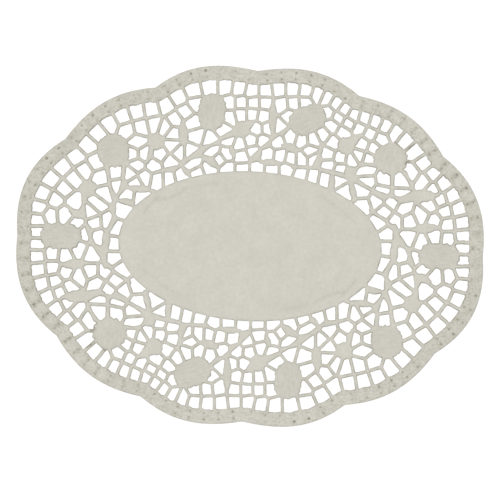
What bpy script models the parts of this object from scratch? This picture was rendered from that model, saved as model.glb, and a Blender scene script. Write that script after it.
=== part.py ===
"""Paper lace doily: a flat sheet with a plain oval centre, a lace of roses and leaves and a scalloped edge.

It lies on the ground plane with its long axis along X. The tables are in millimetres and degrees.
Every motif and every hole is there twice, the second time a half turn about the middle.
"""

from collections import namedtuple
from math import cos, degrees, hypot, pi, radians, sin, tau

import bmesh
import bpy
from mathutils import Vector
from mathutils.geometry import delaunay_2d_cdt
from mathutils.kdtree import KDTree

MM = 0.001

SHEET_THICKNESS = 1.0
EDGE_HALF_LENGTH = 174.5
EDGE_HALF_WIDTH = 133.0
CENTRE_HALF_LENGTH = 98.0
CENTRE_HALF_WIDTH = 55.7
BORDER_WIDTH = 10.6
MIDDLE_BAR_WIDTH = 2.2
END_BAR_WIDTH = 2.9

EDGE_ROW_DEPTH = 5.3
LARGEST_HOLE_REACH = 12.0
NEIGHBOUR_REACH = 28.0
SHORTEST_HOLE_SIDE = 0.7
HOLES_CUT = 300

STEM_PIECES = 8
LEAF_TIP_RADIUS = 0.8
EDGE_POINTS_PER_SCALLOP = 20
RAIL_POINTS = 720
ROW_STEPS = 200
NORMAL_STEP = 1.5
SAME_PLACE = 0.01

PAPER_COLOUR = (0.644, 0.631, 0.552, 1.0)
PAPER_ROUGHNESS = 0.9

# notch and crest are shares of the edge oval's radius; the six sections fill the upper half turn
Scallop = namedtuple("Scallop", "from_degree notch crest")
SCALLOPS = (
    Scallop(0.0, 0.993, 1.009),
    Scallop(27.5, 0.976, 1.005),
    Scallop(56.5, 0.971, 1.020),
    Scallop(90.0, 0.981, 1.018),
    Scallop(123.5, 0.965, 1.005),
    Scallop(152.5, 0.978, 1.016),
)

# stretches of the row along the border with holes of one width; the last ends where the first begins,
# half a turn on
EdgeRun = namedtuple("EdgeRun", "from_degree holes")
EDGE_RUNS = (
    EdgeRun(7.0, 8),
    EdgeRun(40.5, 6),
    EdgeRun(59.5, 3),
    EdgeRun(71.0, 7),
    EdgeRun(102.5, 2),
    EdgeRun(116.0, 7),
    EdgeRun(147.5, 5),
    EdgeRun(170.5, 5),
)

Rose = namedtuple("Rose", "x y length width turn")
ROSES = (
    Rose(-141.0, 1.0, 30.5, 19.0, 0),
    Rose(-105.0, 66.5, 25.0, 23.5, 90),
    Rose(-33.0, 98.5, 27.5, 20.0, 88),
    Rose(38.5, 96.0, 28.5, 20.5, 25),
    Rose(101.5, 69.5, 25.0, 23.5, 0),
)

Star = namedtuple("Star", "x y size")
STARS = (
    Star(-122.5, 37.5, 13.0),
    Star(-73.5, 74.5, 13.0),
    Star(-10.0, 86.5, 12.5),
    Star(68.0, 78.0, 13.0),
    Star(72.0, 58.5, 9.5),
)

Leaf = namedtuple("Leaf", "x y length width turn")
LEAVES = (
    Leaf(125.0, 43.1, 27.0, 9.6, 5),
    Leaf(71.5, 81.0, 20.0, 8.0, 38),
    Leaf(129.5, 19.2, 22.0, 7.6, 8),
    Leaf(107.3, 0.5, 17.0, 6.2, 92),
    Leaf(-129.5, 18.0, 13.0, 6.5, -20),
    Leaf(-8.0, 88.5, 17.0, 8.0, 36),
    Leaf(-84.0, 38.8, 22.0, 5.2, -3),
    Leaf(-94.0, 29.0, 13.0, 5.0, -3),
    Leaf(-53.5, 81.0, 21.0, 7.6, 98),
    Leaf(-50.0, 53.3, 9.0, 4.4, -45),
    Leaf(-31.5, 61.5, 14.0, 6.4, -38),
    Leaf(-16.5, 69.5, 9.0, 4.0, -65),
    Leaf(12.0, 63.0, 16.0, 5.2, 0),
    Leaf(12.5, 96.5, 30.0, 6.4, 92),
    Leaf(27.0, 74.5, 14.0, 6.8, -15),
    Leaf(58.7, 51.0, 14.0, 5.0, 93),
    Leaf(74.5, 44.5, 16.0, 5.4, 107),
)

# bulge is how far the middle stands off the straight line, to the left of its direction
Stem = namedtuple("Stem", "from_x from_y to_x to_y bulge width")
STEMS = (
    Stem(119.5, 47.0, 113.0, 60.0, 0.0, 2.6),
    Stem(75.0, 55.0, 114.0, 41.0, -3.7, 2.2),
    Stem(103.0, 60.0, 104.0, 42.0, 0.0, 3.2),
    Stem(88.0, 31.0, 106.0, 19.0, 0.5, 2.6),
    Stem(107.0, 20.0, 107.5, 7.0, 0.0, 3.4),
    Stem(122.0, -9.0, 109.0, 14.0, -1.4, 3.0),
    Stem(76.0, 62.0, 91.0, 65.0, 1.2, 2.2),
    Stem(66.0, 57.0, 48.0, 60.0, 0.0, 2.4),
    Stem(49.0, 60.5, 29.0, 60.5, 0.0, 2.7),
    Stem(44.5, 61.0, 50.0, 79.0, -1.0, 3.2),
    Stem(26.0, 91.0, -3.0, 64.5, -1.0, 2.2),
    Stem(-15.0, 82.0, -40.0, 66.5, -2.4, 2.1),
    Stem(-39.0, 71.0, -55.0, 57.5, 0.0, 3.5),
    Stem(-55.0, 57.0, -76.0, 50.5, -0.6, 2.2),
    Stem(-96.0, 56.0, -101.5, 29.0, 1.5, 2.4),
    Stem(-108.5, 56.0, -102.5, 29.0, -1.2, 3.0),
    Stem(-102.5, 30.0, -107.5, 6.0, 2.4, 2.2),
    Stem(-126.0, 33.0, -122.0, 9.0, -0.6, 2.7),
    Stem(-77.5, 70.0, -79.0, 59.0, 0.0, 2.4),
)

# the first and last hole middle of each row of the net behind the border row, which bends as a stem does
HoleRow = namedtuple("HoleRow", "from_x from_y to_x to_y bulge holes")
HOLE_ROWS = (
    HoleRow(147.0, 12.5, 118.0, 60.5, -8.8, 7),
    HoleRow(137.0, 13.5, 132.0, 36.5, -1.5, 3),
    HoleRow(127.5, 8.5, 126.5, 29.0, 0.0, 2),
    HoleRow(117.5, 12.0, 92.0, 38.0, -11.0, 5),
    HoleRow(107.5, 24.0, 99.0, 30.0, 0.0, 2),
    HoleRow(110.0, 43.5, 67.5, 43.0, -1.7, 4),
    HoleRow(110.0, 53.5, 85.0, 52.0, -1.7, 3),
    HoleRow(88.5, 77.0, 84.0, 60.5, -1.3, 3),
    HoleRow(80.0, 79.5, 64.0, 68.5, 6.5, 4),
    HoleRow(93.5, 84.2, 53.5, 102.8, 0.0, 6),
    HoleRow(57.0, 92.0, 26.0, 82.5, 5.9, 5),
    HoleRow(36.0, 109.0, 18.5, 107.0, 0.0, 3),
    HoleRow(6.5, 107.5, -20.5, 106.0, 0.0, 4),
    HoleRow(5.5, 97.0, -19.5, 95.0, -2.0, 4),
    HoleRow(18.0, 89.0, 0.5, 87.5, 0.0, 3),
    HoleRow(17.0, 79.0, 6.0, 78.5, 0.0, 2),
    HoleRow(-3.0, 79.0, -24.0, 86.0, 6.5, 4),
    HoleRow(-0.5, 70.0, 19.5, 68.0, 0.0, 3),
    HoleRow(27.0, 66.5, 44.0, 67.0, 0.0, 3),
    HoleRow(-9.5, 66.0, -31.5, 69.5, 0.0, 3),
    HoleRow(101.0, 3.5, 95.0, 21.5, -3.0, 3),
    HoleRow(62.0, 51.5, 35.5, 55.0, 0.0, 4),
    HoleRow(24.5, 58.5, -19.5, 57.0, 0.0, 5),
    HoleRow(-33.0, 56.0, -41.5, 52.5, 0.0, 2),
    HoleRow(-53.5, 49.0, -80.5, 47.5, 2.0, 4),
    HoleRow(-92.0, 49.5, -87.5, 43.0, 0.0, 2),
    HoleRow(-83.5, 33.0, -92.5, 34.0, 0.0, 2),
    HoleRow(-96.0, 22.0, -99.5, 9.0, 0.0, 2),
    HoleRow(-45.5, 104.0, -67.5, 85.5, 0.0, 4),
    HoleRow(-75.0, 87.5, -95.5, 82.0, 0.0, 3),
    HoleRow(-61.0, 81.0, -47.5, 68.0, -7.2, 4),
    HoleRow(-46.5, 90.0, -33.5, 78.0, -4.9, 3),
    HoleRow(-87.5, 73.5, -90.5, 64.5, 0.0, 2),
    HoleRow(-70.0, 65.0, -82.0, 65.0, 0.0, 2),
    HoleRow(-62.5, 60.0, -87.0, 56.5, 1.7, 3),
    HoleRow(-102.5, 49.5, -100.5, 41.0, 0.0, 2),
    HoleRow(-146.5, 28.0, -117.5, 57.0, 2.0, 5),
    HoleRow(-113.5, 46.0, -110.0, 34.0, 0.0, 2),
    HoleRow(-115.0, 26.5, -120.0, 20.0, 0.0, 2),
    HoleRow(-106.5, 13.0, -123.5, 4.5, -3.4, 3),
    HoleRow(-129.5, 10.5, -150.0, 16.0, -4.2, 3),
    HoleRow(65.0, 87.5, 54.5, 71.0, -1.8, 3),
    HoleRow(55.5, 63.0, 64.5, 60.5, 0.0, 2),
    HoleRow(-132.0, 27.0, -132.0, 27.0, 0.0, 1),
    HoleRow(113.5, -2.5, 113.5, -2.5, 0.0, 1),
    HoleRow(41.0, 72.5, 41.0, 72.5, 0.0, 1),
    HoleRow(-26.0, 63.5, -26.0, 63.5, 0.0, 1),
    HoleRow(-45.5, 59.5, -45.5, 59.5, 0.0, 1),
    HoleRow(25.5, 97.5, 25.5, 97.5, 0.0, 1),
    HoleRow(83.0, 34.5, 83.0, 34.5, 0.0, 1),
)

# a round dab of material; a strip is a row of dabs with the material between them filled
Dab = namedtuple("Dab", "x y radius")
# a straight line through (x, y) and the unit direction out of the hole
Line = namedtuple("Line", "x y out_x out_y")
# a closed curve that bounds the net; side is 1 where the net lies inside it and -1 where it lies outside
Rail = namedtuple("Rail", "points tree side")


def half_turned(points):
    return [(-x, -y) for x, y in points]


def edge_at(angle):
    """Point of the scalloped outer edge in the direction of the angle."""
    degree = degrees(angle) % 180
    index = max(i for i, section in enumerate(SCALLOPS) if section.from_degree <= degree)
    section = SCALLOPS[index]
    following = SCALLOPS[(index + 1) % len(SCALLOPS)]
    end = following.from_degree or 180
    share = (degree - section.from_degree) / (end - section.from_degree)
    notch = section.notch + (following.notch - section.notch) * share
    factor = notch + (section.crest - notch) * sin(pi * share)
    radius = factor / hypot(cos(angle) / EDGE_HALF_LENGTH, sin(angle) / EDGE_HALF_WIDTH)
    return radius * cos(angle), radius * sin(angle)


def edge_point(angle, depth):
    """Point at a depth inside the outer edge, measured square to it."""
    x, y = edge_at(angle)
    before = edge_at(angle - radians(NORMAL_STEP))
    after = edge_at(angle + radians(NORMAL_STEP))
    along_x, along_y = after[0] - before[0], after[1] - before[1]
    length = hypot(along_x, along_y)
    return x - along_y / length * depth, y + along_x / length * depth


def oval_point(angle):
    """Point of the plain centre's oval edge."""
    return CENTRE_HALF_LENGTH * cos(angle), CENTRE_HALF_WIDTH * sin(angle)


def bent_line(line, share):
    """Point at a share of the way along a stem or a row."""
    along_x, along_y = line.to_x - line.from_x, line.to_y - line.from_y
    length = max(hypot(along_x, along_y), SAME_PLACE)
    offset = line.bulge * 4 * share * (1 - share)
    x = line.from_x + along_x * share - along_y / length * offset
    y = line.from_y + along_y * share + along_x / length * offset
    return x, y


def stem_strip(stem):
    shares = [piece / STEM_PIECES for piece in range(STEM_PIECES + 1)]
    return [Dab(*bent_line(stem, share), stem.width / 2) for share in shares]


def leaf_strip(leaf):
    strip = []
    for piece in range(STEM_PIECES + 1):
        share = piece / STEM_PIECES - 0.5
        radius = max(LEAF_TIP_RADIUS, leaf.width / 2 * (1 - (2 * share) ** 2))
        x = leaf.x + share * leaf.length * cos(radians(leaf.turn))
        y = leaf.y + share * leaf.length * sin(radians(leaf.turn))
        strip.append(Dab(x, y, radius))
    return strip


def rose_strip(rose):
    half_core = (rose.length - rose.width) / 2
    step_x, step_y = half_core * cos(radians(rose.turn)), half_core * sin(radians(rose.turn))
    radius = rose.width / 2
    return [Dab(rose.x - step_x, rose.y - step_y, radius), Dab(rose.x + step_x, rose.y + step_y, radius)]


def star_strip(star):
    body = Dab(star.x, star.y, star.size / 2)
    return [body, body]


def all_strips():
    strips = [rose_strip(rose) for rose in ROSES]
    strips += [star_strip(star) for star in STARS]
    strips += [leaf_strip(leaf) for leaf in LEAVES]
    strips += [stem_strip(stem) for stem in STEMS]
    strips += [[Dab(-dab.x, -dab.y, dab.radius) for dab in strip] for strip in strips]
    return strips


def reach_box(strip):
    """Box outside which the strip can't touch a hole."""
    xs = [dab.x for dab in strip]
    ys = [dab.y for dab in strip]
    margin = LARGEST_HOLE_REACH + max(dab.radius for dab in strip)
    return min(xs) - margin, max(xs) + margin, min(ys) - margin, max(ys) + margin


def tree_of(points):
    tree = KDTree(len(points))
    for index, (x, y) in enumerate(points):
        tree.insert((x, y, 0), index)
    tree.balance()
    return tree


def rail_through(points, side):
    return Rail(points, tree_of(points), side)


STRIPS = [(strip, reach_box(strip)) for strip in all_strips()]
BORDER_RAIL = rail_through([edge_point(tau * i / RAIL_POINTS, BORDER_WIDTH) for i in range(RAIL_POINTS)], 1)
CENTRE_RAIL = rail_through([oval_point(tau * i / RAIL_POINTS) for i in range(RAIL_POINTS)], -1)


def strip_line(strip, x, y):
    """The line that touches a strip nearest to a point."""
    nearest = None
    for start, end in zip(strip, strip[1:]):
        along_x, along_y = end.x - start.x, end.y - start.y
        square = along_x**2 + along_y**2
        share = ((x - start.x) * along_x + (y - start.y) * along_y) / square if square else 0
        share = min(max(share, 0), 1)
        middle_x, middle_y = start.x + along_x * share, start.y + along_y * share
        radius = start.radius + (end.radius - start.radius) * share
        away = max(hypot(x - middle_x, y - middle_y), SAME_PLACE)
        in_x, in_y = (x - middle_x) / away, (y - middle_y) / away
        if nearest is None or away - radius < nearest:
            nearest = away - radius
            touching = Line(middle_x + in_x * radius, middle_y + in_y * radius, -in_x, -in_y)
    return touching


def strips_near(x, y):
    return [strip for strip, (left, right, low, high) in STRIPS if left < x < right and low < y < high]


def rail_line(rail, x, y):
    """The line that touches a rail nearest to a point."""
    index = rail.tree.find((x, y, 0))[1]
    before, after = rail.points[index - 1], rail.points[(index + 1) % RAIL_POINTS]
    along_x, along_y = after[0] - before[0], after[1] - before[1]
    scale = rail.side / hypot(along_x, along_y)
    return Line(*rail.points[index], along_y * scale, -along_x * scale)


def depth_behind(line, x, y):
    return (line.x - x) * line.out_x + (line.y - y) * line.out_y


def cut_to_line(polygon, line):
    """The part of a convex polygon that lies behind a line."""
    kept = []
    for start, end in zip(polygon, polygon[1:] + polygon[:1]):
        start_depth = depth_behind(line, *start)
        end_depth = depth_behind(line, *end)
        if start_depth >= 0:
            kept.append(start)
        if start_depth * end_depth < 0:
            share = start_depth / (start_depth - end_depth)
            x = start[0] + (end[0] - start[0]) * share
            y = start[1] + (end[1] - start[1]) * share
            kept.append((x, y))
    return kept


def area_and_middle(polygon):
    area = middle_x = middle_y = 0
    for (x0, y0), (x1, y1) in zip(polygon, polygon[1:] + polygon[:1]):
        cross = (x0 * y1 - x1 * y0) / 2
        area += cross
        middle_x += (x0 + x1) * cross / 3
        middle_y += (y0 + y1) * cross / 3
    if area <= 0:
        return 0, (0, 0)
    return area, (middle_x / area, middle_y / area)


def bar_width(x):
    """Width of a bar, which grows from the middle of the sheet towards the ends of the oval."""
    return MIDDLE_BAR_WIDTH + (END_BAR_WIDTH - MIDDLE_BAR_WIDTH) * abs(x) / EDGE_HALF_LENGTH


def neighbour_lines(x, y, tree):
    """Lines half way to the next holes, less half a bar."""
    lines = []
    for place, _, gap in tree.find_range((x, y, 0), NEIGHBOUR_REACH):
        if gap > SAME_PLACE:
            out_x, out_y = (place.x - x) / gap, (place.y - y) / gap
            keep = (gap - bar_width((x + place.x) / 2)) / 2
            lines.append(Line(x + out_x * keep, y + out_y * keep, out_x, out_y))
    return lines


def hole_round(x, y, tree):
    """The convex hole round a point, held off the rails, the motifs and the holes beside it."""
    reach = LARGEST_HOLE_REACH
    hole = [(x - reach, y - reach), (x + reach, y - reach), (x + reach, y + reach), (x - reach, y + reach)]
    lines = [rail_line(BORDER_RAIL, x, y), rail_line(CENTRE_RAIL, x, y)]
    lines += [strip_line(strip, x, y) for strip in strips_near(x, y)]
    lines += neighbour_lines(x, y, tree)
    for line in lines:
        hole = cut_to_line(hole, line)
        if len(hole) < 3:
            return []
    return hole


def even_angles(first, last, count, point_at):
    """Angles that share out a stretch of a curve by its length, half a share in from each end."""
    angles = [first + (last - first) * step / ROW_STEPS for step in range(ROW_STEPS + 1)]
    points = [point_at(angle) for angle in angles]
    reached = [0]
    for start, end in zip(points, points[1:]):
        reached.append(reached[-1] + hypot(end[0] - start[0], end[1] - start[1]))
    even = []
    for place in range(count):
        wanted = reached[-1] * (place + 0.5) / count
        step = min(range(len(reached)), key=lambda i: abs(reached[i] - wanted))
        even.append(angles[step])
    return even


def border_row():
    """Middles of the holes along the border."""
    depth = BORDER_WIDTH + EDGE_ROW_DEPTH
    ends = [run.from_degree for run in EDGE_RUNS[1:]] + [EDGE_RUNS[0].from_degree + 180]
    middles = []
    for run, end in zip(EDGE_RUNS, ends):
        start, stop = radians(run.from_degree), radians(end)
        angles = even_angles(start, stop, run.holes, lambda angle: edge_point(angle, depth))
        middles += [edge_point(angle, depth) for angle in angles]
    return middles


def net_rows():
    """Middles of the holes in the rows behind."""
    middles = []
    for row in HOLE_ROWS:
        for place in range(row.holes):
            share = place / max(row.holes - 1, 1)
            middles.append(bent_line(row, share))
    return middles


def without_short_sides(polygon):
    """Joins corners that lie closer together than the shortest side."""
    kept = []
    for corner in polygon:
        if not kept or hypot(corner[0] - kept[-1][0], corner[1] - kept[-1][1]) > SHORTEST_HOLE_SIDE:
            kept.append(corner)
    if hypot(kept[0][0] - kept[-1][0], kept[0][1] - kept[-1][1]) <= SHORTEST_HOLE_SIDE:
        kept.pop()
    return kept


def lace_holes():
    """The holes, largest first, as a list of corners each."""
    half = border_row() + net_rows()
    tree = tree_of(half + half_turned(half))
    sized = []
    for x, y in half:
        hole = hole_round(x, y, tree)
        sized.append((area_and_middle(hole)[0], hole))
    sized.sort(reverse=True)
    holes = []
    for area, hole in sized[: HOLES_CUT // 2]:
        hole = without_short_sides(hole)
        holes += [hole, half_turned(hole)]
    return holes


def scalloped_outline():
    ends = [section.from_degree for section in SCALLOPS[1:]] + [180]
    half = []
    for section, end in zip(SCALLOPS, ends):
        for step in range(EDGE_POINTS_PER_SCALLOP):
            degree = section.from_degree + (end - section.from_degree) * step / EDGE_POINTS_PER_SCALLOP
            half.append(edge_at(radians(degree)))
    return half + half_turned(half)


def cut_sheet_mesh(outline, holes):
    """A flat sheet with the holes cut through it."""
    corners = []
    loops = []
    for loop in [outline] + holes:
        loops.append(list(range(len(corners), len(corners) + len(loop))))
        corners += [Vector((x * MM, y * MM)) for x, y in loop]
    triangles_only = 1
    filled = delaunay_2d_cdt(corners, [], loops, triangles_only, MM * MM)
    points, faces, loops_over = filled[0], filled[2], filled[5]
    mesh = bmesh.new()
    vertices = [mesh.verts.new((point.x, point.y, 0)) for point in points]
    for face, over in zip(faces, loops_over):
        if over == [0]:
            mesh.faces.new([vertices[index] for index in face])
    raised = bmesh.ops.extrude_face_region(mesh, geom=mesh.faces[:])["geom"]
    top = [item for item in raised if isinstance(item, bmesh.types.BMVert)]
    bmesh.ops.translate(mesh, verts=top, vec=(0, 0, SHEET_THICKNESS * MM))
    bmesh.ops.recalc_face_normals(mesh, faces=mesh.faces[:])
    return mesh


def paper_material():
    material = bpy.data.materials.new("doily_paper")
    material.use_nodes = True
    shader = material.node_tree.nodes["Principled BSDF"]
    shader.inputs["Base Color"].default_value = PAPER_COLOUR
    shader.inputs["Roughness"].default_value = PAPER_ROUGHNESS
    return material


def build_doily():
    data = bpy.data.meshes.new("doily")
    mesh = cut_sheet_mesh(scalloped_outline(), lace_holes())
    mesh.to_mesh(data)
    mesh.free()
    data.materials.append(paper_material())
    doily = bpy.data.objects.new("doily", data)
    bpy.context.scene.collection.objects.link(doily)


def clear_scene():
    for item in list(bpy.data.objects):
        bpy.data.objects.remove(item, do_unlink=True)


clear_scene()
build_doily()
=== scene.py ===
"""Looks of the lace doily: one thin embossed paper sheet with all its holes, laid flat on a pale floor.

The sheet's outline, motifs and rows are the tables of the solid's source, in millimetres and degrees.
Every motif and every hole is there twice, the second time a half turn about the middle.
"""

from collections import namedtuple
from math import atan2, ceil, cos, degrees, exp, hypot, pi, radians, sin, tau

import bpy
import numpy as np
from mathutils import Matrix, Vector, noise
from mathutils.geometry import delaunay_2d_cdt
from mathutils.kdtree import KDTree


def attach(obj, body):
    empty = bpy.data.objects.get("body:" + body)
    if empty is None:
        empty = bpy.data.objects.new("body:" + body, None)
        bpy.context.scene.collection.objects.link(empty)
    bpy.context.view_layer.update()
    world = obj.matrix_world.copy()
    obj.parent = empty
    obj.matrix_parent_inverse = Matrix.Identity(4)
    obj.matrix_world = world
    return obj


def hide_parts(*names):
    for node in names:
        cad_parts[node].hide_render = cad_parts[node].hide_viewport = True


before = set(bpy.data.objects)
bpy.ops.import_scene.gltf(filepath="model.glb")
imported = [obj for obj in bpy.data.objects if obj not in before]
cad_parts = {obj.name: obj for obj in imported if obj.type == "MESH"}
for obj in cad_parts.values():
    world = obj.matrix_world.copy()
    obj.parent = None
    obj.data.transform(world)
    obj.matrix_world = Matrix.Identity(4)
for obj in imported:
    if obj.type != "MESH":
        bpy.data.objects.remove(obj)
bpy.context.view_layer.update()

MM = 0.001
# the middle of a wave or an uneven share that runs from 0 to 1
MIDDLE_SHARE = 0.5

# the sheet's plan, as in the solid
EDGE_HALF_LENGTH = 174.5
EDGE_HALF_WIDTH = 133.0
CENTRE_HALF_LENGTH = 98.0
CENTRE_HALF_WIDTH = 55.7
BORDER_WIDTH = 10.6
MIDDLE_BAR_WIDTH = 2.2
END_BAR_WIDTH = 2.9

# the row of holes along the border, and the limits of one hole
EDGE_ROW_DEPTH = 5.3
LARGEST_HOLE_REACH = 12.0
NEIGHBOUR_REACH = 28.0
SMALLEST_HOLE = 4.0

LEAF_TIP_RADIUS = 0.8
# how finely the curves are stepped
STEM_PIECES = 8
EDGE_POINTS_PER_SCALLOP = 80
RAIL_POINTS = 720
ROW_STEPS = 200
NORMAL_STEP = 1.5
SAME_PLACE = 0.01

# the cut of a hole, found along rays from its middle;
# motifs and the border's inner edge are a little ragged
HOLE_RAYS = 32
RAY_CLEARANCE = 0.06
RAY_STEP = 0.2
CORNER_ROUNDING = 0.10
FARTHEST_ROUNDED_GAP = 9.0
RAGGED_BORDER = 0.50
RAGGED_MOTIF_SHARE = 0.07
RAGGED_BAR = 0.12
RAGGED_TURNS = ((1.4, 0.5), (-0.9, 1.6))
RAGGED_BORDER_TURNS = ((0.55, -0.4), (-1.2, 1.1))

# the sheet's thickness and its pressed relief: dips below the paper's upper face, which also darken its
# colour with painted shade
PAPER_THICKNESS = 0.45
OUTLINE_DROP = 0.06
MIDDLE_HOLE_DROP = 0.115
END_HOLE_DROP = 0.19
EDGE_DROP_SPREAD = 0.7
EDGE_DROP_SIZE = 5.0
CUT_EDGE_ROUNDING = 0.60
BORDER_SAMPLES = 3600
MIDDLE_BAND_HOLLOW = 0.031
END_BAND_HOLLOW = 0.056
USUAL_DOT_DEPTH = 0.12
DOT_DEPTH_SPREAD = 0.10
DOT_RADIUS = 0.85
DOT_ROW_DEPTHS = (3.1, 7.9)
RIB_DEPTH = 0.085
RIB_LEVEL = 0.3
RIB_LINE_DEPTH = 5.6
RIB_HALF_LENGTH = 3.8
RIB_END_SHARPNESS = 4
RIB_NARROWNESS = 3
RIB_MIDDLE_DEGREE = 23.0
RIB_SPREAD_DEGREES = 25.0
BORDER_MOTTLE_DEPTH = 0.10
BORDER_MOTTLE_SIZE = 1.3
BORDER_CLOUD_DEPTH = 0.05
BORDER_CLOUD_SIZE = 4.5
PAPER_MOTTLE_DEPTH = 0.03
PAPER_MOTTLE_SIZE = 1.6
STREAK_DEPTH = 0.04
STREAK_LENGTH = 7.0
STREAK_WIDTH = 1.2
STREAK_BEND = 110.0
STREAK_TURNS = (0, 8, 92, 25, 85)
# the depth that takes full painted shade, the deepest relief, and the share of painted shade on the
# underside and at the foot of the cut walls
HOLLOW_OF_FULL_PAINTED_SHADE = 0.27
DEEPEST_HOLLOW = 0.30
UNDERSIDE_PAINTED_SHADE = 0.5
CREASE_REACH = 4.0

# the mesh: distances between its points, by the part of the sheet
BORDER_GRID = 0.72
NET_GRID = 0.95
CENTRE_GRID = 2.2
CENTRE_MARGIN = 4.0
GRID_CLEARANCE = 0.35
EDGE_SAMPLE = 0.35
SHARP_FROM_DEGREE = 50.0

# the camera is straight above and sees a square of so many pixels of that size
PHOTO_PIXEL = 0.7444
PICTURE_PIXELS = 500
PICTURE_TURN = 2.67
PICTURE_RISE_PIXELS = 3.8
CAMERA_LENS = 80.0
SENSOR_WIDTH = 36.0

# the paper's colours, how its clouds and fibres change them, and the dark colour of its painted shade
PAPER_LIGHT = (0.603, 0.587, 0.521, 1.0)
PAPER_SHADE = (0.565, 0.550, 0.486, 1.0)
PAPER_FIBRE = (0.530, 0.515, 0.455, 1.0)
# painted shade drawn into dips, cut edges, shadow slits, the cut walls and the underside
PAINTED_HOLLOW_SHADE = (0.24, 0.22, 0.17, 1.0)
CLOUD_SCALE = 60.0
CLOUD_DETAIL = 3.0
CLOUD_FROM = 0.35
CLOUD_TO = 0.65
FIBRE_SCALE = 420.0
FIBRE_DETAIL = 4.0
FIBRE_FROM = 0.35
FIBRE_TO = 0.7
FIBRE_COLOUR_SHARE = 0.5
SMOOTHEST_PAPER = 0.82
ROUGHEST_PAPER = 0.95
PAPER_SHINE = 0.25
FIBRE_BUMP = 0.25
FIBRE_HEIGHT = 0.1

# the floor and the light, in metres and degrees
FLOOR_SIDE = 12.0
FLOOR_GAP = 0.00005
FLOOR_COLOUR = (0.95, 0.95, 0.95, 1.0)
FLOOR_ROUGHNESS = 0.9
SKY_COLOUR = (1.0, 1.0, 1.0, 1.0)
SKY_STRENGTH = 0.72
SUN_STRENGTH = 1.62
SUN_SPREAD = 20.0
SUN_TILT = 35.0
SUN_TURN = -55.0

# notch and crest are shares of the edge oval's radius; the six sections fill the upper half turn
Scallop = namedtuple("Scallop", "from_degree notch crest")
SCALLOPS = (
    Scallop(0.0, 0.993, 1.009),
    Scallop(27.5, 0.976, 1.005),
    Scallop(56.5, 0.971, 1.020),
    Scallop(90.0, 0.981, 1.018),
    Scallop(123.5, 0.965, 1.005),
    Scallop(152.5, 0.978, 1.016),
)

# stretches of the row along the border with holes of one width; the last ends where the first begins,
# half a turn on
EdgeRun = namedtuple("EdgeRun", "from_degree holes")
EDGE_RUNS = (
    EdgeRun(7.0, 8),
    EdgeRun(40.5, 6),
    EdgeRun(59.5, 3),
    EdgeRun(71.0, 7),
    EdgeRun(102.5, 2),
    EdgeRun(116.0, 7),
    EdgeRun(147.5, 5),
    EdgeRun(170.5, 5),
)

Rose = namedtuple("Rose", "x y length width turn")
ROSES = (
    Rose(-141.0, 1.0, 30.5, 19.0, 0),
    Rose(-105.0, 66.5, 25.0, 23.5, 90),
    Rose(-33.0, 98.5, 27.5, 20.0, 88),
    Rose(38.5, 96.0, 28.5, 20.5, 25),
    Rose(101.5, 69.5, 25.0, 23.5, 0),
)

Star = namedtuple("Star", "x y size")
STARS = (
    Star(-122.5, 37.5, 13.0),
    Star(-73.5, 74.5, 13.0),
    Star(-10.0, 86.5, 12.5),
    Star(68.0, 78.0, 13.0),
    Star(72.0, 58.5, 9.5),
)

Leaf = namedtuple("Leaf", "x y length width turn")
LEAVES = (
    Leaf(125.0, 43.1, 27.0, 9.6, 5),
    Leaf(71.5, 81.0, 20.0, 8.0, 38),
    Leaf(129.5, 19.2, 22.0, 7.6, 8),
    Leaf(107.3, 0.5, 17.0, 6.2, 92),
    Leaf(-129.5, 18.0, 13.0, 6.5, -20),
    Leaf(-8.0, 88.5, 17.0, 8.0, 36),
    Leaf(-84.0, 38.8, 22.0, 5.2, -3),
    Leaf(-94.0, 29.0, 13.0, 5.0, -3),
    Leaf(-53.5, 81.0, 21.0, 7.6, 98),
    Leaf(-50.0, 53.3, 9.0, 4.4, -45),
    Leaf(-31.5, 61.5, 14.0, 6.4, -38),
    Leaf(-16.5, 69.5, 9.0, 4.0, -65),
    Leaf(12.0, 63.0, 16.0, 5.2, 0),
    Leaf(12.5, 96.5, 30.0, 6.4, 92),
    Leaf(27.0, 74.5, 14.0, 6.8, -15),
    Leaf(58.7, 51.0, 14.0, 5.0, 93),
    Leaf(74.5, 44.5, 16.0, 5.4, 107),
)

# bulge is how far the middle stands off the straight line, to the left of its direction
Stem = namedtuple("Stem", "from_x from_y to_x to_y bulge width")
STEMS = (
    Stem(119.5, 47.0, 113.0, 60.0, 0.0, 2.6),
    Stem(75.0, 55.0, 114.0, 41.0, -3.7, 2.2),
    Stem(103.0, 60.0, 104.0, 42.0, 0.0, 3.2),
    Stem(88.0, 31.0, 106.0, 19.0, 0.5, 2.6),
    Stem(107.0, 20.0, 107.5, 7.0, 0.0, 3.4),
    Stem(122.0, -9.0, 109.0, 14.0, -1.4, 3.0),
    Stem(76.0, 62.0, 91.0, 65.0, 1.2, 2.2),
    Stem(66.0, 57.0, 48.0, 60.0, 0.0, 2.4),
    Stem(49.0, 60.5, 29.0, 60.5, 0.0, 2.7),
    Stem(44.5, 61.0, 50.0, 79.0, -1.0, 3.2),
    Stem(26.0, 91.0, -3.0, 64.5, -1.0, 2.2),
    Stem(-15.0, 82.0, -40.0, 66.5, -2.4, 2.1),
    Stem(-39.0, 71.0, -55.0, 57.5, 0.0, 3.5),
    Stem(-55.0, 57.0, -76.0, 50.5, -0.6, 2.2),
    Stem(-96.0, 56.0, -101.5, 29.0, 1.5, 2.4),
    Stem(-108.5, 56.0, -102.5, 29.0, -1.2, 3.0),
    Stem(-102.5, 30.0, -107.5, 6.0, 2.4, 2.2),
    Stem(-126.0, 33.0, -122.0, 9.0, -0.6, 2.7),
    Stem(-77.5, 70.0, -79.0, 59.0, 0.0, 2.4),
)

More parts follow.
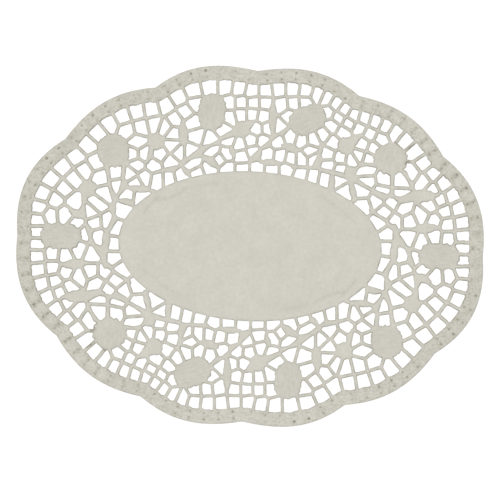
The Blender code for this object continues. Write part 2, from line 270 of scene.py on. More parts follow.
# the first and last hole middle of each row of the net behind the border row, which bends as a stem does
HoleRow = namedtuple("HoleRow", "from_x from_y to_x to_y bulge holes")
HOLE_ROWS = (
    HoleRow(147.0, 12.5, 118.0, 60.5, -8.8, 7),
    HoleRow(137.0, 13.5, 132.0, 36.5, -1.5, 3),
    HoleRow(127.5, 8.5, 126.5, 29.0, 0.0, 2),
    HoleRow(117.5, 12.0, 92.0, 38.0, -11.0, 5),
    HoleRow(107.5, 24.0, 99.0, 30.0, 0.0, 2),
    HoleRow(110.0, 43.5, 67.5, 43.0, -1.7, 4),
    HoleRow(110.0, 53.5, 85.0, 52.0, -1.7, 3),
    HoleRow(88.5, 77.0, 84.0, 60.5, -1.3, 3),
    HoleRow(80.0, 79.5, 64.0, 68.5, 6.5, 4),
    HoleRow(93.5, 84.2, 53.5, 102.8, 0.0, 6),
    HoleRow(57.0, 92.0, 26.0, 82.5, 5.9, 5),
    HoleRow(36.0, 109.0, 18.5, 107.0, 0.0, 3),
    HoleRow(6.5, 107.5, -20.5, 106.0, 0.0, 4),
    HoleRow(5.5, 97.0, -19.5, 95.0, -2.0, 4),
    HoleRow(18.0, 89.0, 0.5, 87.5, 0.0, 3),
    HoleRow(17.0, 79.0, 6.0, 78.5, 0.0, 2),
    HoleRow(-3.0, 79.0, -24.0, 86.0, 6.5, 4),
    HoleRow(-0.5, 70.0, 19.5, 68.0, 0.0, 3),
    HoleRow(27.0, 66.5, 44.0, 67.0, 0.0, 3),
    HoleRow(-9.5, 66.0, -31.5, 69.5, 0.0, 3),
    HoleRow(101.0, 3.5, 95.0, 21.5, -3.0, 3),
    HoleRow(62.0, 51.5, 35.5, 55.0, 0.0, 4),
    HoleRow(24.5, 58.5, -19.5, 57.0, 0.0, 5),
    HoleRow(-33.0, 56.0, -41.5, 52.5, 0.0, 2),
    HoleRow(-53.5, 49.0, -80.5, 47.5, 2.0, 4),
    HoleRow(-92.0, 49.5, -87.5, 43.0, 0.0, 2),
    HoleRow(-83.5, 33.0, -92.5, 34.0, 0.0, 2),
    HoleRow(-96.0, 22.0, -99.5, 9.0, 0.0, 2),
    HoleRow(-45.5, 104.0, -67.5, 85.5, 0.0, 4),
    HoleRow(-75.0, 87.5, -95.5, 82.0, 0.0, 3),
    HoleRow(-61.0, 81.0, -47.5, 68.0, -7.2, 4),
    HoleRow(-46.5, 90.0, -33.5, 78.0, -4.9, 3),
    HoleRow(-87.5, 73.5, -90.5, 64.5, 0.0, 2),
    HoleRow(-70.0, 65.0, -82.0, 65.0, 0.0, 2),
    HoleRow(-62.5, 60.0, -87.0, 56.5, 1.7, 3),
    HoleRow(-102.5, 49.5, -100.5, 41.0, 0.0, 2),
    HoleRow(-146.5, 28.0, -117.5, 57.0, 2.0, 5),
    HoleRow(-113.5, 46.0, -110.0, 34.0, 0.0, 2),
    HoleRow(-115.0, 26.5, -120.0, 20.0, 0.0, 2),
    HoleRow(-106.5, 13.0, -123.5, 4.5, -3.4, 3),
    HoleRow(-129.5, 10.5, -150.0, 16.0, -4.2, 3),
    HoleRow(65.0, 87.5, 54.5, 71.0, -1.8, 3),
    HoleRow(55.5, 63.0, 64.5, 60.5, 0.0, 2),
    HoleRow(-132.0, 27.0, -132.0, 27.0, 0.0, 1),
    HoleRow(113.5, -2.5, 113.5, -2.5, 0.0, 1),
    HoleRow(41.0, 72.5, 41.0, 72.5, 0.0, 1),
    HoleRow(-26.0, 63.5, -26.0, 63.5, 0.0, 1),
    HoleRow(-45.5, 59.5, -45.5, 59.5, 0.0, 1),
    HoleRow(25.5, 97.5, 25.5, 97.5, 0.0, 1),
    HoleRow(83.0, 34.5, 83.0, 34.5, 0.0, 1),
)

# stretches of the border with evenly spaced pairs of pressed dots; the last ends where the first begins,
# half a turn on
DotRun = namedtuple("DotRun", "from_degree pairs")
DOT_RUNS = (
    DotRun(-0.2, 7),
    DotRun(28.0, 7),
    DotRun(57.4, 3),
    DotRun(70.8, 8),
    DotRun(109.0, 17),
)

# dots pressed deeper or fainter than usual, by the number of their pair; row 0 is the outer one; a deeper
# dot also takes more painted shade
DotDepth = namedtuple("DotDepth", "pair row depth")
DOT_DEPTHS = (
    DotDepth(3, 0, 0.18),
    DotDepth(4, 0, 0.24),
    DotDepth(5, 0, 0.20),
    DotDepth(7, 0, 0.12),
    DotDepth(7, 1, 0.16),
    DotDepth(8, 0, 0.08),
    DotDepth(8, 1, 0.08),
    DotDepth(9, 0, 0.08),
    DotDepth(14, 0, 0.06),
    DotDepth(14, 1, 0.26),
    DotDepth(15, 1, 0.16),
    DotDepth(16, 1, 0.20),
    DotDepth(17, 0, 0.26),
    DotDepth(17, 1, 0.18),
    DotDepth(18, 0, 0.22),
    DotDepth(18, 1, 0.18),
    DotDepth(19, 0, 0.18),
    DotDepth(19, 1, 0.20),
    DotDepth(20, 0, 0.18),
    DotDepth(20, 1, 0.24),
    DotDepth(24, 0, 0.45),
    DotDepth(25, 0, 0.36),
    DotDepth(26, 0, 0.18),
    DotDepth(26, 1, 0.20),
    DotDepth(27, 1, 0.20),
    DotDepth(30, 1, 0.22),
    DotDepth(31, 0, 0.20),
    DotDepth(31, 1, 0.24),
    DotDepth(32, 0, 0.28),
    DotDepth(33, 0, 0.18),
    DotDepth(35, 0, 0.28),
    DotDepth(35, 1, 0.18),
    DotDepth(36, 0, 0.30),
    DotDepth(36, 1, 0.20),
    DotDepth(37, 0, 0.20),
    DotDepth(38, 0, 0.22),
    DotDepth(38, 1, 0.20),
    DotDepth(39, 0, 0.22),
)

# faint pressed lines of the plain centre, and grooves at the feet of some bars, both bent as a stem is;
# their depth sets their painted shade, deep enough in the grooves to paint dark shadow lines
Crease = namedtuple("Crease", "from_x from_y to_x to_y bulge width depth")
CREASES = (
    Crease(-80.0, 21.0, -70.0, 33.5, 0.6, 1.2, 0.036),
    Crease(-71.0, 31.0, -50.0, 40.0, -1.8, 1.3, 0.036),
    Crease(-44.0, 41.5, -27.0, 46.0, 0.5, 2.0, 0.025),
    Crease(50.0, 40.0, 60.0, 34.0, 0.0, 1.5, 0.018),
    Crease(60.0, 34.0, 78.0, 21.0, 0.5, 1.2, 0.016),
)
SHADOW_SLITS = (
    Crease(115.0, 78.8, 120.0, 81.6, 0.0, 0.7, 0.22),
    Crease(111.5, 77.0, 115.0, 78.8, 0.0, 0.6, 0.10),
    Crease(104.3, 82.5, 105.8, 81.3, 0.0, 0.7, 0.18),
    Crease(113.0, 66.4, 115.5, 68.4, 0.8, 0.8, 0.20),
)

# a round dab of material; a strip is a row of dabs with the material between them filled
Dab = namedtuple("Dab", "x y radius")
# a straight line through (x, y) and the unit direction out of the hole
Line = namedtuple("Line", "x y out_x out_y")
# a closed curve that bounds the net; side is 1 where the net lies inside it and -1 where it lies outside
Rail = namedtuple("Rail", "points tree side")


def half_turned(points):
    return [(-x, -y) for x, y in points]


def edge_at(angle):
    """Point of the scalloped outer edge in the direction of the angle."""
    degree = degrees(angle) % 180
    index = max(i for i, section in enumerate(SCALLOPS) if section.from_degree <= degree)
    section = SCALLOPS[index]
    following = SCALLOPS[(index + 1) % len(SCALLOPS)]
    end = following.from_degree or 180
    share = (degree - section.from_degree) / (end - section.from_degree)
    notch = section.notch + (following.notch - section.notch) * share
    factor = notch + (section.crest - notch) * sin(pi * share)
    radius = factor / hypot(cos(angle) / EDGE_HALF_LENGTH, sin(angle) / EDGE_HALF_WIDTH)
    return radius * cos(angle), radius * sin(angle)


def edge_point(angle, depth):
    """Point at a depth inside the outer edge, measured square to it."""
    x, y = edge_at(angle)
    before = edge_at(angle - radians(NORMAL_STEP))
    after = edge_at(angle + radians(NORMAL_STEP))
    along_x, along_y = after[0] - before[0], after[1] - before[1]
    length = hypot(along_x, along_y)
    return x - along_y / length * depth, y + along_x / length * depth


def oval_point(angle):
    """Point of the plain centre's oval edge."""
    return CENTRE_HALF_LENGTH * cos(angle), CENTRE_HALF_WIDTH * sin(angle)


def bent_line(line, share):
    """Point at a share of the way along a stem or a row."""
    along_x, along_y = line.to_x - line.from_x, line.to_y - line.from_y
    length = max(hypot(along_x, along_y), SAME_PLACE)
    offset = line.bulge * 4 * share * (1 - share)
    x = line.from_x + along_x * share - along_y / length * offset
    y = line.from_y + along_y * share + along_x / length * offset
    return x, y


def stem_strip(stem):
    shares = [piece / STEM_PIECES for piece in range(STEM_PIECES + 1)]
    return [Dab(*bent_line(stem, share), stem.width / 2) for share in shares]


def leaf_strip(leaf):
    strip = []
    for piece in range(STEM_PIECES + 1):
        share = piece / STEM_PIECES - 0.5
        radius = max(LEAF_TIP_RADIUS, leaf.width / 2 * (1 - (2 * share) ** 2))
        x = leaf.x + share * leaf.length * cos(radians(leaf.turn))
        y = leaf.y + share * leaf.length * sin(radians(leaf.turn))
        strip.append(Dab(x, y, radius))
    return strip


def rose_strip(rose):
    half_core = (rose.length - rose.width) / 2
    step_x, step_y = half_core * cos(radians(rose.turn)), half_core * sin(radians(rose.turn))
    radius = rose.width / 2
    return [Dab(rose.x - step_x, rose.y - step_y, radius), Dab(rose.x + step_x, rose.y + step_y, radius)]


def star_strip(star):
    body = Dab(star.x, star.y, star.size / 2)
    return [body, body]


def all_strips():
    strips = [rose_strip(rose) for rose in ROSES]
    strips += [star_strip(star) for star in STARS]
    strips += [leaf_strip(leaf) for leaf in LEAVES]
    strips += [stem_strip(stem) for stem in STEMS]
    strips += [[Dab(-dab.x, -dab.y, dab.radius) for dab in strip] for strip in strips]
    return strips


def reach_box(strip):
    """Box outside which the strip can't touch a hole."""
    xs = [dab.x for dab in strip]
    ys = [dab.y for dab in strip]
    margin = LARGEST_HOLE_REACH + max(dab.radius for dab in strip)
    return min(xs) - margin, max(xs) + margin, min(ys) - margin, max(ys) + margin


def tree_of(points):
    tree = KDTree(len(points))
    for index, (x, y) in enumerate(points):
        tree.insert((x, y, 0), index)
    tree.balance()
    return tree


def rail_through(points, side):
    return Rail(points, tree_of(points), side)


STRIPS = [(strip, reach_box(strip)) for strip in all_strips()]
BORDER_RAIL = rail_through([edge_point(tau * i / RAIL_POINTS, BORDER_WIDTH) for i in range(RAIL_POINTS)], 1)
CENTRE_RAIL = rail_through([oval_point(tau * i / RAIL_POINTS) for i in range(RAIL_POINTS)], -1)


def strip_line(strip, x, y):
    """The line that touches a strip nearest to a point."""
    nearest = None
    for start, end in zip(strip, strip[1:]):
        along_x, along_y = end.x - start.x, end.y - start.y
        square = along_x**2 + along_y**2
        share = ((x - start.x) * along_x + (y - start.y) * along_y) / square if square else 0
        share = min(max(share, 0), 1)
        middle_x, middle_y = start.x + along_x * share, start.y + along_y * share
        radius = start.radius + (end.radius - start.radius) * share
        away = max(hypot(x - middle_x, y - middle_y), SAME_PLACE)
        in_x, in_y = (x - middle_x) / away, (y - middle_y) / away
        if nearest is None or away - radius < nearest:
            nearest = away - radius
            touching = Line(middle_x + in_x * radius, middle_y + in_y * radius, -in_x, -in_y)
    return touching


def strips_near(x, y):
    return [strip for strip, (left, right, low, high) in STRIPS if left < x < right and low < y < high]


def rail_line(rail, x, y):
    """The line that touches a rail nearest to a point."""
    index = rail.tree.find((x, y, 0))[1]
    before, after = rail.points[index - 1], rail.points[(index + 1) % RAIL_POINTS]
    along_x, along_y = after[0] - before[0], after[1] - before[1]
    scale = rail.side / hypot(along_x, along_y)
    return Line(*rail.points[index], along_y * scale, -along_x * scale)


def depth_behind(line, x, y):
    return (line.x - x) * line.out_x + (line.y - y) * line.out_y


def cut_to_line(polygon, line):
    """The part of a convex polygon that lies behind a line."""
    kept = []
    for start, end in zip(polygon, polygon[1:] + polygon[:1]):
        start_depth = depth_behind(line, *start)
        end_depth = depth_behind(line, *end)
        if start_depth >= 0:
            kept.append(start)
        if start_depth * end_depth < 0:
            share = start_depth / (start_depth - end_depth)
            x = start[0] + (end[0] - start[0]) * share
            y = start[1] + (end[1] - start[1]) * share
            kept.append((x, y))
    return kept


def area_and_middle(polygon):
    area = middle_x = middle_y = 0
    for (x0, y0), (x1, y1) in zip(polygon, polygon[1:] + polygon[:1]):
        cross = (x0 * y1 - x1 * y0) / 2
        area += cross
        middle_x += (x0 + x1) * cross / 3
        middle_y += (y0 + y1) * cross / 3
    if area <= 0:
        return 0, (0, 0)
    return area, (middle_x / area, middle_y / area)


def bar_width(x):
    """Width of a bar, which grows from the middle of the sheet towards the ends of the oval."""
    return MIDDLE_BAR_WIDTH + (END_BAR_WIDTH - MIDDLE_BAR_WIDTH) * abs(x) / EDGE_HALF_LENGTH


def neighbour_lines(x, y, tree):
    """Lines half way to the next holes, less half a bar."""
    lines = []
    for place, _, gap in tree.find_range((x, y, 0), NEIGHBOUR_REACH):
        if gap > SAME_PLACE:
            out_x, out_y = (place.x - x) / gap, (place.y - y) / gap
            keep = (gap - bar_width((x + place.x) / 2)) / 2
            lines.append(Line(x + out_x * keep, y + out_y * keep, out_x, out_y))
    return lines


def hole_round(x, y, tree):
    """The convex hole round a point, held off the rails, the motifs and the holes beside it."""
    reach = LARGEST_HOLE_REACH
    hole = [(x - reach, y - reach), (x + reach, y - reach), (x + reach, y + reach), (x - reach, y + reach)]
    lines = [rail_line(BORDER_RAIL, x, y), rail_line(CENTRE_RAIL, x, y)]
    lines += [strip_line(strip, x, y) for strip in strips_near(x, y)]
    lines += neighbour_lines(x, y, tree)
    for line in lines:
        hole = cut_to_line(hole, line)
        if len(hole) < 3:
            return []
    return hole


def even_angles(first, last, count, point_at):
    """Angles that share out a stretch of a curve by its length, half a share in from each end."""
    angles = [first + (last - first) * step / ROW_STEPS for step in range(ROW_STEPS + 1)]
    points = [point_at(angle) for angle in angles]
    reached = [0]
    for start, end in zip(points, points[1:]):
        reached.append(reached[-1] + hypot(end[0] - start[0], end[1] - start[1]))
    even = []
    for place in range(count):
        wanted = reached[-1] * (place + 0.5) / count
        step = min(range(len(reached)), key=lambda i: abs(reached[i] - wanted))
        even.append(angles[step])
    return even


def border_row():
    """Middles of the holes along the border."""
    depth = BORDER_WIDTH + EDGE_ROW_DEPTH
    ends = [run.from_degree for run in EDGE_RUNS[1:]] + [EDGE_RUNS[0].from_degree + 180]
    middles = []
    for run, end in zip(EDGE_RUNS, ends):
        start, stop = radians(run.from_degree), radians(end)
        angles = even_angles(start, stop, run.holes, lambda angle: edge_point(angle, depth))
        middles += [edge_point(angle, depth) for angle in angles]
    return middles


def net_rows():
    """Middles of the holes in the rows behind."""
    middles = []
    for row in HOLE_ROWS:
        for place in range(row.holes):
            share = place / max(row.holes - 1, 1)
            middles.append(bent_line(row, share))
    return middles


def ragged(xs, ys, turns):
    """An uneven wave from -1 to 1 over the sheet."""
    waves = [np.sin(xs * turn_x + ys * turn_y) for turn_x, turn_y in turns]
    return sum(waves) / len(waves)


def rail_gaps(rail, xs, ys, middle):
    """Distances from points near the middle to a rail, on the net's side of it."""
    near = [index for _, index, _ in rail.tree.find_range((*middle, 0), NEIGHBOUR_REACH)]
    if not near:
        return None
    lines = np.array([rail_line(rail, *rail.points[index]) for index in near])
    away = (xs[..., None] - lines[:, 0]) ** 2 + (ys[..., None] - lines[:, 1]) ** 2
    line = lines[away.argmin(axis=-1)]
    gaps = (line[..., 0] - xs) * line[..., 2] + (line[..., 1] - ys) * line[..., 3]
    return gaps + RAGGED_BORDER * ragged(xs, ys, RAGGED_BORDER_TURNS) if rail is BORDER_RAIL else gaps


def strip_gaps(strip, xs, ys):
    """Distances from points to the outside of a strip."""
    gaps = np.full(xs.shape, NEIGHBOUR_REACH)
    for start, end in zip(strip, strip[1:]):
        along_x, along_y = end.x - start.x, end.y - start.y
        square = max(along_x**2 + along_y**2, SAME_PLACE**2)
        share = np.clip(((xs - start.x) * along_x + (ys - start.y) * along_y) / square, 0, 1)
        radius = start.radius + (end.radius - start.radius) * share
        away = np.hypot(xs - start.x - along_x * share, ys - start.y - along_y * share)
        gaps = np.minimum(gaps, away - radius * (1 + RAGGED_MOTIF_SHARE * ragged(xs, ys, RAGGED_TURNS)))
    return gaps


def ray_turns(polygon, middle):
    """Directions of the rays from a hole's middle: one to each corner and even ones between them."""
    corners = [atan2(y - middle[1], x - middle[0]) % tau for x, y in polygon]
    turns = list(corners)
    for ray in range(HOLE_RAYS):
        turn = tau * ray / HOLE_RAYS
        if all(abs((turn - corner + pi) % tau - pi) > RAY_CLEARANCE for corner in corners):
            turns.append(turn)
    return np.array(sorted(turns))


def cut_hole(x, y, tree):
    """The hole as it is cut: the free space round its middle, with slightly rounded corners."""
    polygon = hole_round(x, y, tree)
    area, middle = area_and_middle(polygon)
    if area < SMALLEST_HOLE:
        return []
    turns = ray_turns(polygon, middle)
    steps = np.arange(0, LARGEST_HOLE_REACH, RAY_STEP)
    xs = middle[0] + np.cos(turns)[:, None] * steps
    ys = middle[1] + np.sin(turns)[:, None] * steps
    gaps = [rail_gaps(rail, xs, ys, middle) for rail in (BORDER_RAIL, CENTRE_RAIL)]
    gaps = [gap for gap in gaps if gap is not None]
    for line in neighbour_lines(x, y, tree):
        bar_gap = (line.x - xs) * line.out_x + (line.y - ys) * line.out_y
        gaps.append(bar_gap + RAGGED_BAR * ragged(xs, ys, RAGGED_TURNS))
    gaps += [strip_gaps(strip, xs, ys) for strip in strips_near(*middle)]
    clipped = [np.clip(gap, -FARTHEST_ROUNDED_GAP, FARTHEST_ROUNDED_GAP) for gap in gaps]
    free = -CORNER_ROUNDING * np.log(sum(np.exp(-gap / CORNER_ROUNDING) for gap in clipped))
    hole = []
    for ray, turn in enumerate(turns):
        last = int(np.argmax(free[ray] < 0))
        if last == 0:
            return []
        inner, outer = free[ray][last - 1], free[ray][last]
        reach = steps[last - 1] + RAY_STEP * inner / (inner - outer)
        hole.append((middle[0] + reach * cos(turn), middle[1] + reach * sin(turn)))
    return hole


def all_holes():
    half = border_row() + net_rows()
    tree = tree_of(half + half_turned(half))
    holes = []
    for x, y in half:
        hole = cut_hole(x, y, tree)
        if hole:
            holes += [hole, half_turned(hole)]
    return holes


def scalloped_outline():
    ends = [section.from_degree for section in SCALLOPS[1:]] + [180]
    half = []
    for section, end in zip(SCALLOPS, ends):
        for step in range(EDGE_POINTS_PER_SCALLOP):
            degree = section.from_degree + (end - section.from_degree) * step / EDGE_POINTS_PER_SCALLOP
            half.append(edge_at(radians(degree)))
    return half + half_turned(half)


def sampled(loop):
    """Points along a closed loop no further apart than the edge sample."""
    points = []
    for start, end in zip(loop, loop[1:] + loop[:1]):
        pieces = ceil(hypot(end[0] - start[0], end[1] - start[1]) / EDGE_SAMPLE)
        for piece in range(pieces):
            share = piece / pieces
            points.append((start[0] + (end[0] - start[0]) * share, start[1] + (end[1] - start[1]) * share))
    return points


def towards_ends(middle, end, x):
    """A value between the one in the middle of the sheet and the one at the ends of the oval."""
    return middle + (end - middle) * abs(x) / EDGE_HALF_LENGTH


class CutEdges:
    """The cut edges of the sheet: its outline and its holes."""

    def __init__(self, outline, holes):
        points = []
        self.middles = []
        for loop in [outline] + holes:
            middle = area_and_middle(loop)[1]
            samples = sampled(loop)
            points += samples
            self.middles += [middle] * len(samples)
        self.outline_samples = len(sampled(outline))
        self.tree = tree_of(points)

    def drop(self, x, y, gap):
        """How far the paper falls off towards its nearest cut edge."""
        at_outline = self.tree.find((x, y, 0))[1] < self.outline_samples
        full = OUTLINE_DROP if at_outline else towards_ends(MIDDLE_HOLE_DROP, END_HOLE_DROP, x)
        uneven = 1 + EDGE_DROP_SPREAD * (2 * mottle(x, y, EDGE_DROP_SIZE) - 1)
        return full * uneven * exp(-((gap / CUT_EDGE_ROUNDING) ** 2))

    def gap(self, x, y):
        """Distance to the nearest cut edge, less than 0 where there is no paper."""
        place, index, gap = self.tree.find((x, y, 0))
        middle = self.middles[index]
        inward = (x - place.x) * (middle[0] - place.x) + (y - place.y) * (middle[1] - place.y)
        is_paper = (inward > 0) == (index < self.outline_samples)
        return gap if is_paper else -gap


def pair_turns():
    """Directions of the pairs of dots from the middle, once round the border."""
    ends = [run.from_degree for run in DOT_RUNS[1:]] + [DOT_RUNS[0].from_degree + 180]
    turns = []
    for run, end in zip(DOT_RUNS, ends):
        turns += even_angles(radians(run.from_degree), radians(end), run.pairs, edge_at)
    return turns + [turn + pi for turn in turns]


class Border:
    """The band along the outer edge, with its pressed dots in pairs and ribs through the pairs."""

    def __init__(self):
        turns = pair_turns()
        angles = [turns[0] + tau * step / BORDER_SAMPLES for step in range(BORDER_SAMPLES)]
        self.ways = np.interp(angles, turns + [turns[0] + tau], range(len(turns) + 1))
        self.tree = tree_of([edge_at(angle) for angle in angles])
        own = {(dot.pair, dot.row): dot.depth for dot in DOT_DEPTHS}
        self.dots = []
        self.depths = []
        for number, turn in enumerate(turns):
            for row, depth in enumerate(DOT_ROW_DEPTHS):
                self.dots.append(edge_point(turn, depth))
                usual = USUAL_DOT_DEPTH + DOT_DEPTH_SPREAD * noise.noise(Vector(self.dots[-1] + (0,)))
                self.depths.append(own.get((number % (len(turns) // 2), row), usual))
        self.dot_tree = tree_of(self.dots)

    def place(self, x, y):
        """Depth inside the outer edge, and the way along it in pairs of dots."""
        index, depth = self.tree.find((x, y, 0))[1:]
        return depth, self.ways[index]

    def hollow(self, x, y):
        """Depth of the band's relief: dots, ribs through the pairs and an uneven mottle."""
        dot, gap = self.dot_tree.find((x, y, 0))[1:]
        depth, way = self.place(x, y)
        pressed = self.depths[dot] * exp(-((gap / DOT_RADIUS) ** 2))
        across = exp(-(((depth - RIB_LINE_DEPTH) / RIB_HALF_LENGTH) ** RIB_END_SHARPNESS))
        degree = degrees(atan2(y, x)) % 180
        share = exp(-(((degree - RIB_MIDDLE_DEGREE) / RIB_SPREAD_DEGREES) ** 2))
        wave = (MIDDLE_SHARE + MIDDLE_SHARE * cos(tau * way)) ** RIB_NARROWNESS
        rib = RIB_DEPTH * share * across * (wave - RIB_LEVEL)
        uneven = BORDER_MOTTLE_DEPTH * (mottle(x, y, BORDER_MOTTLE_SIZE) - MIDDLE_SHARE)
        uneven += BORDER_CLOUD_DEPTH * (mottle(x, y, BORDER_CLOUD_SIZE) - MIDDLE_SHARE)
        return max(towards_ends(MIDDLE_BAND_HOLLOW, END_BAND_HOLLOW, x) + pressed + rib + uneven, 0)


def mottle(x, y, size):
    """An uneven share from 0 to 1 over the sheet."""
    return min(max(MIDDLE_SHARE + noise.noise(Vector((x / size, y / size, 0))), 0), 1)


def line_gap(points, x, y):
    """Distance from a point to a row of points joined by straight lines."""
    nearest = LARGEST_HOLE_REACH
    for start, end in zip(points, points[1:]):
        along_x, along_y = end[0] - start[0], end[1] - start[1]
        share = ((x - start[0]) * along_x + (y - start[1]) * along_y) / (along_x**2 + along_y**2)
        share = min(max(share, 0), 1)
        nearest = min(nearest, hypot(x - start[0] - along_x * share, y - start[1] - along_y * share))
    return nearest


def crease_lines(creases):
    """Each crease and its half-turned twin, as the crease and a row of points."""
    lines = []
    for crease in creases:
        points = [bent_line(crease, piece / STEM_PIECES) for piece in range(STEM_PIECES + 1)]
        lines += [(crease, points), (crease, half_turned(points))]
    return lines


CREASE_LINES = crease_lines(CREASES)
SHADOW_SLIT_LINES = crease_lines(SHADOW_SLITS)


def pressed_lines(lines, x, y):
    """Depth of some creases at a point."""
    depth = 0
    for crease, points in lines:
        depth += crease.depth * exp(-((line_gap(points, x, y) / crease.width) ** 2))
    return depth


def petal_hollow(x, y):
    """Depth of the faint petal lines along a rose."""
    for rose, degree in zip(ROSES, STREAK_TURNS):
        for side in (1, -1):
            from_x, from_y = x * side - rose.x, y * side - rose.y
            if hypot(from_x, from_y) < rose.length / 2:
                along = from_x * cos(radians(degree)) + from_y * sin(radians(degree))
                across = from_y * cos(radians(degree)) - from_x * sin(radians(degree))
                bent = across + along**2 / STREAK_BEND
                return STREAK_DEPTH * mottle(rose.x + along / STREAK_LENGTH, bent / STREAK_WIDTH, 1)
    return 0


def in_centre(x, y, margin):
    return hypot(x / (CENTRE_HALF_LENGTH - margin), y / (CENTRE_HALF_WIDTH - margin)) < 1


def relief_hollow(border, x, y):
    """Depth of the pressed relief below the paper's upper face, away from the cut edges."""
    depth, _ = border.place(x, y)
    if depth < BORDER_WIDTH:
        return border.hollow(x, y)
    hollow = PAPER_MOTTLE_DEPTH * mottle(x, y, PAPER_MOTTLE_SIZE)
    if in_centre(x, y, 0):
        return hollow + pressed_lines(CREASE_LINES, x, y)
    return hollow + petal_hollow(x, y) + pressed_lines(SHADOW_SLIT_LINES, x, y)


def grid_points(spacing, wanted):
    """Points of a triangular grid over the sheet's box, where they are wanted."""
    points = []
    row_height = spacing * sin(pi / 3)
    rows = ceil(EDGE_HALF_WIDTH / row_height) + 1
    columns = ceil(EDGE_HALF_LENGTH / spacing) + 1
    for row in range(-rows, rows + 1):
        y = row * row_height
        for column in range(-columns, columns + 1):
            x = (column + row % 2 / 2) * spacing
            if wanted(x, y):
                points.append((x, y))
    return points


def inner_points(edges, border):
    """Points of the sheet between its edges: fine in the border and at the creases, wide in the centre."""

    def creased(x, y):
        return any(line_gap(points, x, y) < CREASE_REACH for _, points in CREASE_LINES)

    def in_border(x, y):
        depth, _ = border.place(x, y)
        return depth < BORDER_WIDTH and edges.gap(x, y) > GRID_CLEARANCE

    def in_net(x, y):
        if in_centre(x, y, CENTRE_MARGIN) and not creased(x, y):
            return False
        depth, _ = border.place(x, y)
        return depth >= BORDER_WIDTH and edges.gap(x, y) > GRID_CLEARANCE

    def in_plain(x, y):
        return in_centre(x, y, CENTRE_MARGIN) and not creased(x, y)

    points = grid_points(BORDER_GRID, in_border)
    points += grid_points(NET_GRID, in_net)
    return points + grid_points(CENTRE_GRID, in_plain)


def sheet_mesh(outline, holes):
    """The sheet with its relief, as a closed mesh with each point's share of painted shade, which grows
    with how hollow it is.
    """
    edges = CutEdges(outline, holes)
    border = Border()
    corners = []
    loops = []
    for loop in [outline] + holes:
        loops.append(list(range(len(corners), len(corners) + len(loop))))
        corners += loop
    rim_corners = len(corners)
    inner = inner_points(edges, border)
    triangles_only = 1
    top = delaunay_2d_cdt([Vector(p) for p in corners + inner], [], loops, triangles_only, MM)
    bottom = delaunay_2d_cdt([Vector(p) for p in corners], [], loops, triangles_only, MM)
    points = []
    painted_shade_shares = []
    for (x, y), origins in zip(top[0], top[3]):
        gap = 0.0 if min(origins, default=rim_corners) < rim_corners else max(edges.gap(x, y), 0.0)
        hollow = relief_hollow(border, x, y) + edges.drop(x, y, gap)
        points.append((x, y, PAPER_THICKNESS - min(hollow, DEEPEST_HOLLOW)))
        # painted shade grows with the relief's depth and the cut edges' fall-off, which paints the dark
        # outlines of the cut edges
        painted_shade_shares.append(min(hollow / HOLLOW_OF_FULL_PAINTED_SHADE, 1))
    faces = [face for face, over in zip(top[2], top[5]) if over == [0]]
    top_of = {origin: index for index, origins in enumerate(top[3]) for origin in origins}
    bottom_at = {}
    for origins in bottom[3]:
        x, y = corners[origins[0]]
        for origin in origins:
            bottom_at[origin] = len(points)
        points.append((x, y, 0.0))
        # the underside and the foot of the cut walls take painted shade too
        painted_shade_shares.append(UNDERSIDE_PAINTED_SHADE)
    for face, over in zip(bottom[2], bottom[5]):
        if over == [0]:
            faces.append([bottom_at[bottom[3][index][0]] for index in reversed(face)])
    for loop in loops:
        for start, end in zip(loop, loop[1:] + loop[:1]):
            faces.append([top_of[start], bottom_at[start], bottom_at[end], top_of[end]])
    return points, faces, painted_shade_shares


def add_node(tree, kind, inputs=(), **settings):
    """A shader node with its settings, its fixed inputs and the links that come into it."""
    node = tree.nodes.new(kind)
    for name, value in settings.items():
        setattr(node, name, value)
    for name, value in dict(inputs).items():
        if isinstance(value, bpy.types.NodeSocket):
            tree.links.new(value, node.inputs[name])
        else:
            node.inputs[name].default_value = value
    return node


def mixed_colour(tree, share, first, second):
    """One colour drawn towards another by a share, as a socket."""
    node = tree.nodes.new("ShaderNodeMix")
    node.data_type = "RGBA"
    for socket, value in (("Factor_Float", share), ("A_Color", first), ("B_Color", second)):
        target = next(item for item in node.inputs if item.identifier == socket)
        if isinstance(value, bpy.types.NodeSocket):
            tree.links.new(value, target)
        else:
            target.default_value = value
    return next(item for item in node.outputs if item.identifier == "Result_Color")


def ranged(tree, value, low, high, out_low, out_high):
    """A value carried over from one range to another, as a socket."""
    limits = {"From Min": low, "From Max": high, "To Min": out_low, "To Max": out_high}
    node = add_node(tree, "ShaderNodeMapRange", {"Value": value, **limits})
    return node.outputs["Result"]


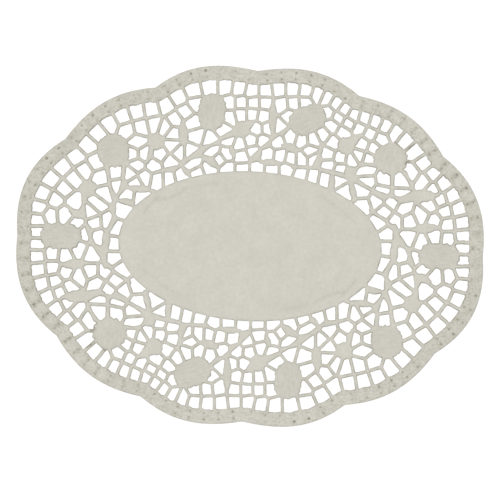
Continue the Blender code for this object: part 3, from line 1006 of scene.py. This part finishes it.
def paper_material():
    material = bpy.data.materials.new("embossed_paper")
    material.use_nodes = True
    tree = material.node_tree
    shader = tree.nodes["Principled BSDF"]
    place = add_node(tree, "ShaderNodeTexCoord").outputs["Object"]
    cloud_inputs = {"Vector": place, "Scale": CLOUD_SCALE, "Detail": CLOUD_DETAIL}
    fibre_inputs = {"Vector": place, "Scale": FIBRE_SCALE, "Detail": FIBRE_DETAIL}
    clouds = add_node(tree, "ShaderNodeTexNoise", cloud_inputs)
    fibres = add_node(tree, "ShaderNodeTexNoise", fibre_inputs)
    # the hollow attribute is each point's share of painted shade
    hollow = add_node(tree, "ShaderNodeAttribute", attribute_name="hollow").outputs["Fac"]
    cloudy = ranged(tree, clouds.outputs["Fac"], CLOUD_FROM, CLOUD_TO, 0.0, 1.0)
    fibrous = ranged(tree, fibres.outputs["Fac"], FIBRE_FROM, FIBRE_TO, 0.0, 1.0)
    colour = mixed_colour(tree, cloudy, PAPER_LIGHT, PAPER_SHADE)
    fibre_share = ranged(tree, fibrous, 0, 1, 0, FIBRE_COLOUR_SHARE)
    colour = mixed_colour(tree, fibre_share, colour, PAPER_FIBRE)
    # painted shade: the colour darkens towards the dark shade colour in dips, at cut edges, in the shadow
    # slits and on the underside
    colour = mixed_colour(tree, hollow, colour, PAINTED_HOLLOW_SHADE)
    tree.links.new(colour, shader.inputs["Base Color"])
    roughness = ranged(tree, fibrous, 0, 1, SMOOTHEST_PAPER, ROUGHEST_PAPER)
    tree.links.new(roughness, shader.inputs["Roughness"])
    shader.inputs["Specular IOR Level"].default_value = PAPER_SHINE
    bump_inputs = {"Height": fibres.outputs["Fac"], "Strength": FIBRE_BUMP, "Distance": FIBRE_HEIGHT * MM}
    bump = add_node(tree, "ShaderNodeBump", bump_inputs)
    tree.links.new(bump.outputs["Normal"], shader.inputs["Normal"])
    return material


def build_sheet():
    points, faces, painted_shade_shares = sheet_mesh(scalloped_outline(), all_holes())
    data = bpy.data.meshes.new("lace_sheet")
    data.from_pydata([(x * MM, y * MM, z * MM) for x, y, z in points], [], faces)
    # the hollow attribute carries each point's share of painted shade
    data.attributes.new("hollow", "FLOAT", "POINT").data.foreach_set("value", painted_shade_shares)
    data.shade_smooth()
    data.set_sharp_from_angle(angle=radians(SHARP_FROM_DEGREE))
    data.materials.append(paper_material())
    sheet = bpy.data.objects.new("lace_sheet", data)
    bpy.context.scene.collection.objects.link(sheet)
    return sheet


def build_floor():
    data = bpy.data.meshes.new("floor")
    half = FLOOR_SIDE / 2
    corners = [(-half, -half, 0), (half, -half, 0), (half, half, 0), (-half, half, 0)]
    data.from_pydata(corners, [], [(0, 1, 2, 3)])
    material = bpy.data.materials.new("pale_floor")
    material.use_nodes = True
    shader = material.node_tree.nodes["Principled BSDF"]
    shader.inputs["Base Color"].default_value = FLOOR_COLOUR
    shader.inputs["Roughness"].default_value = FLOOR_ROUGHNESS
    data.materials.append(material)
    floor = bpy.data.objects.new("floor", data)
    floor.location.z = -FLOOR_GAP
    bpy.context.scene.collection.objects.link(floor)


def add_light():
    world = bpy.data.worlds.new("studio")
    world.use_nodes = True
    background = world.node_tree.nodes["Background"]
    background.inputs["Color"].default_value = SKY_COLOUR
    background.inputs["Strength"].default_value = SKY_STRENGTH
    bpy.context.scene.world = world
    data = bpy.data.lights.new("soft_sun", "SUN")
    data.energy = SUN_STRENGTH
    data.angle = radians(SUN_SPREAD)
    sun = bpy.data.objects.new("soft_sun", data)
    sun.rotation_euler = (0, radians(-SUN_TILT), radians(SUN_TURN))
    bpy.context.scene.collection.objects.link(sun)


def add_camera():
    data = bpy.data.cameras.new("camera")
    data.lens = CAMERA_LENS
    data.sensor_width = SENSOR_WIDTH
    field = PHOTO_PIXEL * PICTURE_PIXELS * MM
    drop = PICTURE_RISE_PIXELS * PHOTO_PIXEL * MM
    turn = radians(PICTURE_TURN)
    camera = bpy.data.objects.new("camera", data)
    camera.location = (drop * sin(turn), -drop * cos(turn), field * CAMERA_LENS / SENSOR_WIDTH)
    camera.rotation_euler = (0, 0, turn)
    bpy.context.scene.collection.objects.link(camera)
    bpy.context.scene.camera = camera


sheet = build_sheet()
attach(sheet, "root")
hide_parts("doily")
build_floor()
add_light()
add_camera()
bpy.context.scene.view_settings.view_transform = "Standard"
